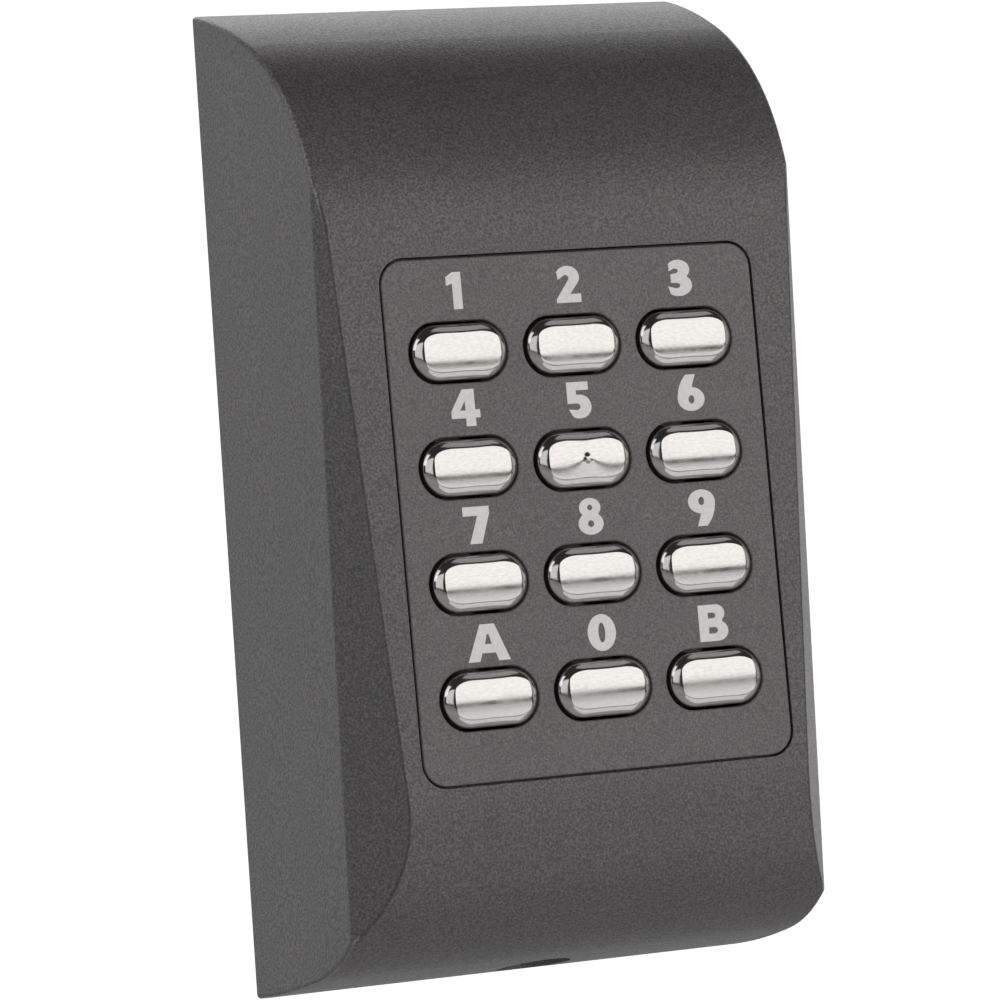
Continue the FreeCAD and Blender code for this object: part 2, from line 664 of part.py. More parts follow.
def back_plate():
    """Plate screwed to the wall, with hooks for the cover's top and a lug for its locking screw."""
    height = PLATE_TOP - PLATE_BOTTOM
    middle = (PLATE_TOP + PLATE_BOTTOM) / 2
    plate = rounded_block(2 * PLATE_HALF_WIDTH, height, PLATE_CORNER, 0, PLATE_THICK, 0, middle)
    rim_height = RIM_TOP - RIM_BOTTOM
    rim_middle = (RIM_TOP + RIM_BOTTOM) / 2
    rim_out = PLATE_THICK + RIM_OUT
    rim = rounded_block(2 * RIM_HALF_WIDTH, rim_height, RIM_CORNER, PLATE_THICK, rim_out, 0, rim_middle)
    hollow = rounded_block(
        2 * (RIM_HALF_WIDTH - RIM_THICK),
        rim_height - 2 * RIM_THICK,
        RIM_CORNER - RIM_THICK,
        0,
        rim_out + PAST,
        0,
        rim_middle,
    )
    lock_gap = box(RIM_GAP_WIDTH, RIM_GAP_HEIGHT, 0, rim_out + PAST, 0, RIM_BOTTOM)
    rim = rim.cut([hollow, lock_gap])
    hooks = [
        box(HOOK_WIDTH, 2 * HOOK_REACH, HOOK_LEVEL, HOOK_LEVEL + HOOK_THICK, side * HOOK_X, PLATE_TOP)
        for side in (-1, 1)
    ]
    lug = box(2 * LUG_HALF_WIDTH, LUG_HEIGHT, 0, PLATE_THICK + LUG_OUT, 0, LUG_LOW + LUG_HEIGHT / 2)
    post = disc(POST_RADIUS, 0, post_out(), TAMPER[0], plunger_place().z)
    shape = from_plate(plate.fuse([rim, lug, post] + hooks))
    holes = []
    for side in (-1, 1):
        slot = rounded_block(
            2 * WALL_SLOT_RADIUS,
            WALL_SLOT_LENGTH,
            WALL_SLOT_RADIUS,
            -PAST,
            PLATE_THICK + PAST,
            0,
            side * WALL_SLOT_SPACING / 2,
        )
        holes.append(from_plate(slot))
    holes.append(from_plate(disc(GROMMET_NECK_RADIUS, -PAST, PLATE_THICK + PAST, 0, CABLE_HEIGHT)))
    holes.append(from_plate(disc(GROMMET_RADIUS, -PAST, GROMMET_REAR, 0, CABLE_HEIGHT)))
    holes.append(disc(INSERT_RADIUS, LUG_LOW - PAST, LUG_LOW + INSERT_LENGTH, 0, -LOCK_DEPTH))
    holes.append(gasket_ring())
    return shape.cut(holes).removeSplitter()


def plunger_place():
    """Where the plunger's end meets the post."""
    return FACE_POINT + ACROSS * TAMPER[0] + FACE_UP * TAMPER[1] + FACE_NORMAL * plunger_low()


def post_out():
    """Height of the post, which stops just short of the plunger."""
    return -plunger_place().y - POST_GAP


def cable_grommet():
    rear = disc(GROMMET_RADIUS, 0, GROMMET_REAR, 0, CABLE_HEIGHT)
    middle = disc(GROMMET_NECK_RADIUS, 0, PLATE_THICK, 0, CABLE_HEIGHT)
    front = disc(GROMMET_RADIUS, PLATE_THICK, PLATE_THICK + GROMMET_FRONT, 0, CABLE_HEIGHT)
    bore = disc(CABLE_RADIUS, -PAST, PLATE_THICK + GROMMET_FRONT + PAST, 0, CABLE_HEIGHT)
    return from_plate(rear.fuse([middle, front]).cut(bore).removeSplitter())


def screw_insert():
    """Brass threaded sleeve in the back plate's lug."""
    high = LUG_LOW + INSERT_LENGTH
    sleeve = disc(INSERT_RADIUS, LUG_LOW, high, 0, -LOCK_DEPTH)
    return sleeve.cut(disc(LOCK_SCREW_RADIUS, LUG_LOW - PAST, high + PAST, 0, -LOCK_DEPTH))


def locking_screw():
    """Screw that holds the cover's lower end, driven up from below."""
    low = LOCK_SEAT - LOCK_HEAD_THICK
    head = rounded_low_end(disc(LOCK_HEAD_RADIUS, low, LOCK_SEAT, 0, -LOCK_DEPTH), low, HEAD_ROUND)
    shank = disc(LOCK_SCREW_RADIUS - FIT_GAP, LOCK_SEAT, LOCK_SEAT + LOCK_SCREW_LENGTH, 0, -LOCK_DEPTH)
    corners = [
        Vector(LOCK_DRIVE_RADIUS * math.cos(turn), LOCK_DRIVE_RADIUS * math.sin(turn) - LOCK_DEPTH, -HEIGHT)
        for turn in (math.radians(60 * step) for step in range(7))
    ]
    socket = Part.Face(Part.makePolygon(corners)).extrude(Vector(0, 0, HEIGHT + low + LOCK_DRIVE_DEPTH))
    return head.fuse(shank).cut(socket).removeSplitter()


def all_parts():
    yield "front_cover", front_cover()
    yield "keypad_panel", keypad_panel()
    for name, x, up in key_places():
        yield "key_" + name, key(name, x, up)
        yield "contact_pill_" + name, pill(x, up)
    yield "keypad_mat", keypad_mat()
    yield "main_board", main_board()
    yield "antenna_coil", antenna_coil()
    yield "controller_chip", chip(CONTROLLER, 11, True)
    yield "reader_chip", chip(READER_CHIP, 8, False)
    yield "voltage_regulator", voltage_regulator()
    yield "crystal", crystal()
    yield "capacitors", capacitors()
    yield "resistors", resistors()
    yield "buzzer", buzzer()
    yield "cable_terminal", cable_terminal()
    yield "terminal_screws", terminal_screws()
    yield "tamper_switch", tamper_switch()
    yield "tamper_plunger", tamper_plunger()
    yield "board_screws", board_screws()
    yield "back_plate", back_plate()
    yield "wall_gasket", gasket_ring()
    yield "cable_grommet", cable_grommet()
    yield "screw_insert", screw_insert()
    yield "locking_screw", locking_screw()


os.makedirs("parts", exist_ok=True)
for node, shape in all_parts():
    print(f"{node}: valid {shape.isValid()}, solids {len(shape.Solids)}, {shape.Volume:.1f} mm3")
    shape.exportStep(f"parts/{node}.step")
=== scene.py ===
import json
import math

import bpy
from mathutils import Matrix, Vector


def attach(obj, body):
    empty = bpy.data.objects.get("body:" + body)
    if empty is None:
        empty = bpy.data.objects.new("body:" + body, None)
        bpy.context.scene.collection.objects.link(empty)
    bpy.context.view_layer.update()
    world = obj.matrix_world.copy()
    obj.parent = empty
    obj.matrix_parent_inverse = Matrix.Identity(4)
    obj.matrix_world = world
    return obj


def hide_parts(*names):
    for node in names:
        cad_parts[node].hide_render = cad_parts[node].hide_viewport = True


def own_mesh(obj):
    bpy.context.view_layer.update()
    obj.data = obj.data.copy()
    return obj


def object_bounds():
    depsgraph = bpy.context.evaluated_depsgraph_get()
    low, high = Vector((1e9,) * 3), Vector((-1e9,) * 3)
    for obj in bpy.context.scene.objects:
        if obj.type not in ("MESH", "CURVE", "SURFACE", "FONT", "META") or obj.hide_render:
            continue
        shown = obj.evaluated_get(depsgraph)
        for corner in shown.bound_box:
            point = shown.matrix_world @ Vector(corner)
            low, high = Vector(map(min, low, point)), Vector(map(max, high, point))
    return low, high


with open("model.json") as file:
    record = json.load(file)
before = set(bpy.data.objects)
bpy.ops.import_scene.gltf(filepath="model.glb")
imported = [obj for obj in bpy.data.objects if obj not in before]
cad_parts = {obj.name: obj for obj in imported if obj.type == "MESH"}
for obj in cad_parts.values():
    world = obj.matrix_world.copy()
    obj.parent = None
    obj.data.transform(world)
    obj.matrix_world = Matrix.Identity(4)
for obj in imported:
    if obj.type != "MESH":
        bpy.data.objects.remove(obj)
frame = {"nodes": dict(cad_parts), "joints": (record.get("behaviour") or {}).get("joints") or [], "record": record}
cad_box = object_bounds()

MM = 0.001
BODY = "reader"
NODES = frame["nodes"]
KEY_NAMES = [["1", "2", "3"], ["4", "5", "6"], ["7", "8", "9"], ["a", "0", "b"]]

# The face frame: across the face, up the face and out of it. Keys travel straight into the face.
ACROSS = Vector((1, 0, 0))
OUT = -Vector(next(j["axis"] for j in frame["joints"] if j["name"] == "press_1")).normalized()
UP = OUT.cross(ACROSS)


def face_box(node):
    """Lowest and highest (across, up, out) of a CAD node, in metres."""
    spots = [(v.co.x, v.co.dot(UP), v.co.dot(OUT)) for v in NODES[node].data.vertices]
    return [min(axis) for axis in zip(*spots)], [max(axis) for axis in zip(*spots)]


def face_matrix(x, up, out):
    """Places a piece drawn in millimetres, x across, y up the face and z out of it."""
    turn = Matrix((ACROSS, UP, OUT)).transposed().to_4x4()
    return Matrix.Translation(ACROSS * x + UP * up + OUT * out) @ turn @ Matrix.Scale(MM, 4)


def add_mesh(name, points, faces, matrix, material, body=BODY):
    mesh = bpy.data.meshes.new(name)
    mesh.from_pydata(points, [], faces)
    mesh.transform(matrix)
    mesh.validate()
    mesh.shade_smooth()
    mesh.materials.append(material)
    piece = bpy.data.objects.new(name, mesh)
    bpy.context.scene.collection.objects.link(piece)
    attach(piece, body)
    return piece


# ---------------------------------------------------------------- materials

FACET_LEAN = (-0.9, -0.6)
WALL_BLEND = 0.0002
PLASTIC_GLOSS = 0.7
CHARCOAL = (1.06, 0.975, 0.99)
SEAM_DEPTH = 0.14
# Darkness of the painted shade line along the facet crease
SEAM_SHADE_LEVEL = 0.5
SEAM_REACH = 24.3
# How much the colour is lightened to paint a highlight line on the rounding next to the side walls
EDGE_HIGHLIGHT_GAIN = 2.1
EDGE_SHINE = 0.6
BLACK_TO_WHITE = [(0.0, (0, 0, 0, 1)), (1.0, (1, 1, 1, 1))]


def new_material(name):
    material = bpy.data.materials.new(name)
    material.use_nodes = True
    tree = material.node_tree
    return material, tree, tree.nodes["Principled BSDF"]


def add(tree, kind, **inputs):
    node = tree.nodes.new(kind)
    for name, value in inputs.items():
        node.inputs[name.replace("_", " ")].default_value = value
    return node


def noise(tree, scale, detail=2.0, stretch=(1, 1, 1)):
    """Noise in the object's own metres, so its grain has a real size."""
    place = tree.nodes.new("ShaderNodeTexCoord")
    mapping = add(tree, "ShaderNodeMapping", Scale=stretch)
    texture = add(tree, "ShaderNodeTexNoise", Scale=scale, Detail=detail)
    tree.links.new(place.outputs["Object"], mapping.inputs["Vector"])
    tree.links.new(mapping.outputs["Vector"], texture.inputs["Vector"])
    return texture.outputs["Fac"]


def ramp(tree, value, stops):
    node = tree.nodes.new("ShaderNodeValToRGB")
    node.color_ramp.elements[0].position = stops[0][0]
    node.color_ramp.elements[0].color = stops[0][1]
    node.color_ramp.elements[1].position = stops[-1][0]
    node.color_ramp.elements[1].color = stops[-1][1]
    for position, color in stops[1:-1]:
        element = node.color_ramp.elements.new(position)
        element.color = color
    tree.links.new(value, node.inputs["Fac"])
    return node.outputs["Color"]


def grey(level, tint=(1, 1, 1)):
    return (level * tint[0], level * tint[1], level * tint[2], 1)


def share(tree, value, low, high):
    """0 below low, 1 above high, and rising evenly between them."""
    node = add(tree, "ShaderNodeMapRange", From_Min=low, From_Max=high)
    tree.links.new(value, node.inputs["Value"])
    return node.outputs["Result"]


def size_of(tree, value):
    """The value without its sign."""
    node = tree.nodes.new("ShaderNodeMath")
    node.operation = "ABSOLUTE"
    tree.links.new(value, node.inputs[0])
    return node.outputs["Value"]


def coordinates(tree, kind):
    """The object's own coordinates or normals, and the same split into X, Y and Z."""
    place = tree.nodes.new("ShaderNodeTexCoord")
    split = tree.nodes.new("ShaderNodeSeparateXYZ")
    tree.links.new(place.outputs[kind], split.inputs["Vector"])
    return place.outputs[kind], split


def combine(tree, kind, first, second, amount=1.0):
    node = tree.nodes.new("ShaderNodeMix")
    node.data_type = "RGBA"
    node.blend_type = kind
    node.inputs["Factor"].default_value = amount
    tree.links.new(first, node.inputs["A"])
    tree.links.new(second, node.inputs["B"])
    return node.outputs["Result"]


def bump(tree, shader, heights):
    """Chains bumps; each is (height, strength, distance in metres)."""
    last = None
    for value, strength, distance in heights:
        node = add(tree, "ShaderNodeBump", Strength=strength, Distance=distance)
        tree.links.new(value, node.inputs["Height"])
        if last:
            tree.links.new(last, node.inputs["Normal"])
        last = node.outputs["Normal"]
    tree.links.new(last, shader.inputs["Normal"])


def facet_plane(node):
    """Normal and distance, for the left side, of the plane that the housing's slanting facet lies in."""
    low, high = FACET_LEAN
    slanting = [face for face in NODES[node].data.polygons if low < face.normal.x < high]
    facet = max(slanting, key=lambda face: face.area)
    return facet.normal.copy(), facet.normal.dot(facet.center)


def beside_wall(tree):
    """White on the side walls and on the rounding next to them, black on the rest."""
    _, split = coordinates(tree, "Object")
    reach = share(tree, size_of(tree, split.outputs["X"]), SEAM_REACH * MM, SEAM_REACH * MM + WALL_BLEND)
    return ramp(tree, reach, BLACK_TO_WHITE)


def seam_shade(tree):
    """Painted shade: a thin dark line on the face's side of the crease where the facets meet the face and the
    rolled ends.
    """
    normal, distance = facet_plane("front_cover")
    _, split = coordinates(tree, "Object")
    joined = tree.nodes.new("ShaderNodeCombineXYZ")
    tree.links.new(size_of(tree, split.outputs["X"]), joined.inputs["X"])
    tree.links.new(split.outputs["Y"], joined.inputs["Y"])
    tree.links.new(split.outputs["Z"], joined.inputs["Z"])
    dot = tree.nodes.new("ShaderNodeVectorMath")
    dot.operation = "DOT_PRODUCT"
    dot.inputs[1].default_value = (-normal.x, normal.y, normal.z)
    tree.links.new(joined.outputs["Vector"], dot.inputs[0])
    depth = share(tree, dot.outputs["Value"], distance - SEAM_DEPTH * MM, distance)
    dark = grey(SEAM_SHADE_LEVEL)
    line = ramp(tree, depth, [(0.0, grey(1)), (0.3, dark), (0.7, dark), (1.0, grey(1))])
    return combine(tree, "LIGHTEN", line, beside_wall(tree))


def painted_highlight_edge(tree):
    """Mask for a painted highlight: white on the rounding between a side wall and a rolled end, black elsewhere.
    """
    _, split = coordinates(tree, "Normal")
    side = size_of(tree, split.outputs["X"])
    rounding = ramp(tree, side, [(0.2, grey(0)), (0.4, grey(1)), (0.68, grey(1)), (0.74, grey(0))])
    return combine(tree, "MULTIPLY", rounding, beside_wall(tree))


def textured_plastic(name, level, tint, grain, contrast, bump_strength, roughness, cover=False):
    """Moulded plastic with a spark-eroded skin: fine pits, faint mottling, and shinier tops than pits."""
    material, tree, shader = new_material(name)
    fine = noise(tree, 1 / (grain * MM), 1.0)
    speck = noise(tree, 1 / (grain * 0.55 * MM), 0.0)
    broad = noise(tree, 90.0, 3.0)
    dark = grey(level * (1 - contrast), tint)
    light = grey(level * (1 + contrast), tint)
    base = ramp(tree, fine, [(0.36, dark), (0.64, light)])
    specks = ramp(tree, speck, [(0.3, grey(0.82)), (0.55, grey(1.0)), (0.75, grey(1.4, (1.0, 0.97, 0.93)))])
    mottle = ramp(tree, broad, [(0.3, grey(0.95)), (0.7, grey(1.05))])
    color = combine(tree, "MULTIPLY", combine(tree, "MULTIPLY", base, specks), mottle)
    rough = ramp(tree, fine, [(0.3, grey(roughness + 0.07)), (0.7, grey(roughness - 0.05))])
    if cover:
        edge = painted_highlight_edge(tree)
        # Painted shade: the colour is darkened in a thin line along the crease of the facets
        color = combine(tree, "MULTIPLY", color, seam_shade(tree))
        # Painted highlight: the colour is lightened on the rounding between side walls and rolled ends, and the
        # roughness there is lowered too
        edge_highlight = ramp(tree, edge, [(0.0, grey(1)), (1.0, grey(EDGE_HIGHLIGHT_GAIN))])
        shinier = ramp(tree, edge, [(0.0, grey(1)), (1.0, grey(EDGE_SHINE))])
        color = combine(tree, "MULTIPLY", color, edge_highlight)
        rough = combine(tree, "MULTIPLY", rough, shinier)
    tree.links.new(color, shader.inputs["Base Color"])
    tree.links.new(rough, shader.inputs["Roughness"])
    shader.inputs["Specular IOR Level"].default_value = PLASTIC_GLOSS
    pits = (fine, bump_strength, grain * 0.3 * MM)
    dots = (speck, bump_strength * 0.6, grain * 0.15 * MM)
    bump(tree, shader, [pits, dots])
    return material


def plain_plastic(name, color, roughness, bump_strength=0.2, contrast=0.13):
    material, tree, shader = new_material(name)
    fine = noise(tree, 2500.0, 2.0)
    dark = [part * (1 - contrast) for part in color] + [1]
    light = [min(1, part * (1 + contrast)) for part in color] + [1]
    tree.links.new(ramp(tree, fine, [(0.3, dark), (0.7, light)]), shader.inputs["Base Color"])
    wear = noise(tree, 300.0, 3.0)
    rough = ramp(tree, wear, [(0.3, grey(roughness - 0.06)), (0.7, grey(roughness + 0.06))])
    tree.links.new(rough, shader.inputs["Roughness"])
    bump(tree, shader, [(fine, bump_strength, 0.00004)])
    return material


def metal(name, color, roughness, stretch, bump_strength=0.1, scale=6000.0):
    """Metal with a grain that runs along one direction."""
    material, tree, shader = new_material(name)
    shader.inputs["Metallic"].default_value = 1.0
    grain = noise(tree, scale, 2.0, stretch)
    wear = noise(tree, 400.0, 3.0)
    dark = [part * 0.93 for part in color] + [1]
    light = [min(1, part * 1.04) for part in color] + [1]
    tree.links.new(ramp(tree, grain, [(0.3, dark), (0.7, light)]), shader.inputs["Base Color"])
    rough = ramp(tree, wear, [(0.3, grey(roughness - 0.03)), (0.7, grey(roughness + 0.04))])
    tree.links.new(rough, shader.inputs["Roughness"])
    bump(tree, shader, [(grain, bump_strength, 0.00001)])
    return material


COVER = textured_plastic("cover_plastic", 0.075, CHARCOAL, 0.24, 0.4, 0.65, 0.4, True)
PANEL = textured_plastic("panel_plastic", 0.102, CHARCOAL, 0.2, 0.26, 0.45, 0.43)
PLATE = textured_plastic("plate_plastic", 0.07, (1, 1, 1), 0.3, 0.15, 0.3, 0.5)
KEY_METAL = metal("key_metal", (0.515, 0.505, 0.49), 0.12, (0.35, 1, 1), 0.06)
SCREW_METAL = metal("screw_steel", (0.6, 0.6, 0.6), 0.3, (1, 1, 1))
CAN_METAL = metal("can_metal", (0.75, 0.75, 0.76), 0.25, (1, 1, 0.1))
BRASS = metal("insert_brass", (0.75, 0.55, 0.22), 0.3, (1, 1, 0.1))
COPPER = metal("copper_wire", (0.75, 0.36, 0.18), 0.3, (1, 1, 1))
INK = plain_plastic("legend_ink", (0.86, 0.86, 0.85), 0.6, 0.1, 0.05)
RUBBER = plain_plastic("silicone", (0.3, 0.31, 0.32), 0.6)
DARK_RUBBER = plain_plastic("dark_rubber", (0.025, 0.025, 0.025), 0.75)
BOARD = plain_plastic("circuit_board", (0.015, 0.1, 0.04), 0.35)
CHIP = plain_plastic("chip_black", (0.022, 0.022, 0.024), 0.5)
TERMINAL = plain_plastic("terminal_green", (0.03, 0.2, 0.07), 0.4)
RED = plain_plastic("plunger_red", (0.4, 0.03, 0.03), 0.4)

SLOT_MATERIALS = {
    "cover_plastic": COVER,
    "panel_plastic": PANEL,
    "plate_plastic": PLATE,
    "key_metal": KEY_METAL,
    "contact_carbon": DARK_RUBBER,
    "silicone": RUBBER,
    "circuit_board": BOARD,
    "copper_wire": COPPER,
    "chip_black": CHIP,
    "can_metal": CAN_METAL,
    "part_black": CHIP,
    "terminal_green": TERMINAL,
    "plunger_red": RED,
    "screw_steel": SCREW_METAL,
    "gasket_foam": DARK_RUBBER,
    "grommet_rubber": DARK_RUBBER,
    "insert_brass": BRASS,
}


def dress_cad_nodes():
    for part in frame["record"]["subparts"]:
        node = NODES[part["node"]]
        material = SLOT_MATERIALS[part["material_slot"]]
        for index in range(len(node.material_slots)):
            node.material_slots[index].material = material


# ---------------------------------------------------------------- keys

KEY_HALF_WIDTH = 4.8
KEY_HALF_HEIGHT = 2.55
KEY_RIM = 0.39
KEY_RISE = 0.55
FLANGE_HALF_WIDTH = 5.45
FLANGE_HALF_HEIGHT = 3.3
FLANGE_THICK = 0.65
STEM_LENGTH = 0.4
PLATEAU_HALF_WIDTH = 3.75
PLATEAU_HALF_HEIGHT = 1.62
PLATEAU_SQUARENESS = 4.5
CROWN_RADIUS_UP = 14.5
CROWN_RADIUS_ACROSS = 90.0
EDGE_DROP = 0.2
EDGE_REACH = 0.13
SOFTNESS = 0.035
ARC_POINTS = 40
STRAIGHT_POINTS = 22
BEVEL_STEPS = (0, 0.02, 0.05, 0.1, 0.16, 0.24, 0.36, 0.5, 0.64, 0.76, 0.84, 0.9, 0.94, 0.97)
PLATEAU_STEPS = 44
PLATEAU_CROWDING = 1.4
PLATEAU_STEP = 4
FAR_INSIDE = 1
NUB_RISE = 0.13
NUB_RADIUS = 1.25
PIP_RISE = 0.14
PIP_RADIUS = 0.42
NUB_KEY = "5"


def obround(half_width, half_height):
    """Points round an outline with round ends, in the XY plane."""
    straight = half_width - half_height
    points = []
    for side in (1, -1):
        for index in range(ARC_POINTS):
            turn = math.pi * index / (ARC_POINTS - 1) - math.pi / 2
            x = straight + half_height * math.cos(turn)
            points.append((side * x, side * half_height * math.sin(turn)))
        for index in range(1, STRAIGHT_POINTS):
            x = straight * (1 - 2 * index / STRAIGHT_POINTS)
            points.append((side * x, side * half_height))
    return points


def plateau_edge(x, y):
    """Where the bevel that starts at a point of the key's outline meets the flatter top."""
    across = x / KEY_HALF_WIDTH
    up = y / KEY_HALF_HEIGHT
    power = PLATEAU_SQUARENESS
    size = (abs(across) ** power + abs(up) ** power) ** (1 / power)
    return PLATEAU_HALF_WIDTH * across / size, PLATEAU_HALF_HEIGHT * up / size


def soft_minimum(first, second):
    low = min(first, second)
    return low - SOFTNESS * math.log(math.exp((low - first) / SOFTNESS) + math.exp((low - second) / SOFTNESS))


def nub(x, y):
    """Locating pip of the middle key, with the metal drawn up round it."""
    distance = math.hypot(x, y)
    nub_part = NUB_RISE * math.exp(-((distance / NUB_RADIUS) ** 2))
    return nub_part + PIP_RISE * math.exp(-((distance / PIP_RADIUS) ** 2))


def key_height(x, y, step, inset, with_nub):
    """Height of the key's top: a bevel that rises from the rim and runs into a crowned plateau."""
    crown = KEY_RIM + KEY_RISE - y * y / (2 * CROWN_RADIUS_UP) - x * x / (2 * CROWN_RADIUS_ACROSS)
    if with_nub:
        crown += nub(x, y)
    bevel = KEY_RIM + KEY_RISE * step - EDGE_DROP * math.exp(-inset / EDGE_REACH)
    return soft_minimum(crown, bevel)


def key_rings(with_nub):
    """Outlines from the rim inwards, each a ring of points that follows the key's shape."""
    outline = obround(KEY_HALF_WIDTH, KEY_HALF_HEIGHT)
    inner = [plateau_edge(x, y) for x, y in outline]
    rings = []
    for step in BEVEL_STEPS:
        ring = []
        for (x0, y0), (x1, y1) in zip(outline, inner):
            x = x0 + (x1 - x0) * step
            y = y0 + (y1 - y0) * step
            ring.append((x, y, key_height(x, y, step, math.hypot(x - x0, y - y0), with_nub)))
        rings.append(ring)
    for index in range(PLATEAU_STEPS):
        part = index / PLATEAU_STEPS
        shrink = 1 - part ** PLATEAU_CROWDING
        step = 1 + (PLATEAU_STEP - 1) * (1 - shrink)
        ring = []
        for x, y in inner:
            height = key_height(x * shrink, y * shrink, step, FAR_INSIDE, with_nub)
            ring.append((x * shrink, y * shrink, height))
        rings.append(ring)
    return rings


def key_piece(name):
    low, high = face_box("key_" + name)
    surface = face_box("keypad_panel")[1][2]
    stem_back = (low[2] - surface) / MM
    flange_back = stem_back + STEM_LENGTH
    flange_front = flange_back + FLANGE_THICK
    rings = []
    for half_width, half_height, z in (
        (FLANGE_HALF_WIDTH, FLANGE_HALF_HEIGHT, flange_back),
        (FLANGE_HALF_WIDTH, FLANGE_HALF_HEIGHT, flange_front),
        (KEY_HALF_WIDTH, KEY_HALF_HEIGHT, flange_front),
        (KEY_HALF_WIDTH, KEY_HALF_HEIGHT, 0.0),
    ):
        rings.append([(x, y, z) for x, y in obround(half_width, half_height)])
    rings += key_rings(name == NUB_KEY)
    count = len(rings[0])
    points = [point for ring in rings for point in ring]
    points.append((0, 0, key_height(0, 0, PLATEAU_STEP, FAR_INSIDE, name == NUB_KEY)))
    faces = [tuple(reversed(range(count)))]
    for level in range(len(rings) - 1):
        for index in range(count):
            following = (index + 1) % count
            a = level * count
            b = a + count
            faces.append((a + index, a + following, b + following, b + index))
    last = (len(rings) - 1) * count
    faces += [(last + index, last + (index + 1) % count, len(points) - 1) for index in range(count)]
    place = face_matrix((low[0] + high[0]) / 2, (low[1] + high[1]) / 2, surface)
    piece = add_mesh("key_cap_" + name, points, faces, place, KEY_METAL, "button_" + name)
    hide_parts("key_" + name)


# ---------------------------------------------------------------- rubber mat

DOME_FOOT_RADIUS = 3.0
DOME_TOP_RADIUS = 2.2
DOME_HEIGHT = 1.3
DOME_SKIN = 0.5
DOME_SEGMENTS = 48
MAT_CORNER = 2.0
MAT_GAP = 0.03


def mat_web(low, high, key_spots):
    """The flat sheet between the domes, with a round hole where each dome stands."""
    thickness = (high[2] - low[2]) / MM - DOME_HEIGHT
    half_width = (high[0] - low[0]) / MM / 2
    half_height = (high[1] - low[1]) / MM / 2
    middle = ((low[0] + high[0]) / 2, (low[1] + high[1]) / 2)
    outline = []
    for turn, side_x, side_y in ((0, 1, 1), (90, -1, 1), (180, -1, -1), (270, 1, -1)):
        x = side_x * (half_width - MAT_CORNER)
        y = side_y * (half_height - MAT_CORNER)
        outline += bow(x, y, MAT_CORNER, MAT_CORNER, turn, turn + 90)
    outlines = [outline]
    for across, up in key_spots.values():
        hole = DOME_FOOT_RADIUS + MAT_GAP
        outlines.append(round_hole((across - middle[0]) / MM, (up - middle[1]) / MM, hole, hole))
    mesh = flat_solid(outlines, thickness)
    mesh.transform(face_matrix(middle[0], middle[1], low[2] + thickness / 2 * MM))
    mesh.materials.clear()
    mesh.materials.append(RUBBER)
    web = bpy.data.objects.new("keypad_mat_web", mesh)
    bpy.context.scene.collection.objects.link(web)
    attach(web, BODY)
    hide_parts("keypad_mat")


def dome_piece(name, spot, low, high):
    """Hollow rubber dome that stands under a key on the board, as a fixed piece of the reader."""
    top = (high[2] - low[2]) / MM
    foot = DOME_FOOT_RADIUS
    profile = [
        (foot - DOME_SKIN, 0),
        (foot, 0),
        (foot, top - DOME_HEIGHT),
        (DOME_TOP_RADIUS, top),
        (0, top),
    ]
    inside = [(0, top - DOME_SKIN), (DOME_TOP_RADIUS - DOME_SKIN, top - DOME_SKIN)]
    points = []
    for radius, z in inside[1:] + profile[:-1]:
        for index in range(DOME_SEGMENTS):
            turn = 2 * math.pi * index / DOME_SEGMENTS
            points.append((radius * math.cos(turn), radius * math.sin(turn), z))
    rings = len(points) // DOME_SEGMENTS
    points += [(0, 0, inside[0][1]), (0, 0, top)]
    faces = []
    for index in range(DOME_SEGMENTS):
        following = (index + 1) % DOME_SEGMENTS
        for level in range(rings - 1):
            a = level * DOME_SEGMENTS
            b = a + DOME_SEGMENTS
            faces.append((a + index, a + following, b + following, b + index))
        last = (rings - 1) * DOME_SEGMENTS
        faces.append((index, len(points) - 2, following))
        faces.append((last + index, last + following, len(points) - 1))
    place = face_matrix(spot[0], spot[1], low[2])
    dome = add_mesh("keypad_dome_" + name, points, faces, place, RUBBER)
    dome.data.shade_flat()
    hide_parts("keypad_mat")
    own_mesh(dome)


def rubber_mat():
    low, high = face_box("keypad_mat")
    key_spots = {}
    for names in KEY_NAMES:
        for name in names:
            key_low, key_high = face_box("key_" + name)
            key_spots[name] = ((key_low[0] + key_high[0]) / 2, (key_low[1] + key_high[1]) / 2)
    mat_web(low, high, key_spots)
    for name, spot in key_spots.items():
        dome_piece(name, spot, low, high)


# ---------------------------------------------------------------- legends

LEGEND_HEIGHT = 3.4
LEGEND_ABOVE_KEY = 5.6
LEGEND_DROP_PER_ROW = 0.17
LEGEND_ACROSS = 0.08
LEGEND_ACROSS_PER_ROW = 0.09
LEGEND_THICKNESS = 0.03
ARC_STEP = 12
LAST_TURN = 360 - ARC_STEP


def bow(cx, cy, rx, ry, start, end):
    """Points along part of an ellipse, angles in degrees."""
    count = max(2, round(abs(end - start) / ARC_STEP))
    turns = [math.radians(start + (end - start) * step / count) for step in range(count + 1)]
    return [(cx + rx * math.cos(turn), cy + ry * math.sin(turn)) for turn in turns]


def round_hole(cx, cy, rx, ry):
    """Points all round an ellipse."""
    return bow(cx, cy, rx, ry, 0, LAST_TURN)


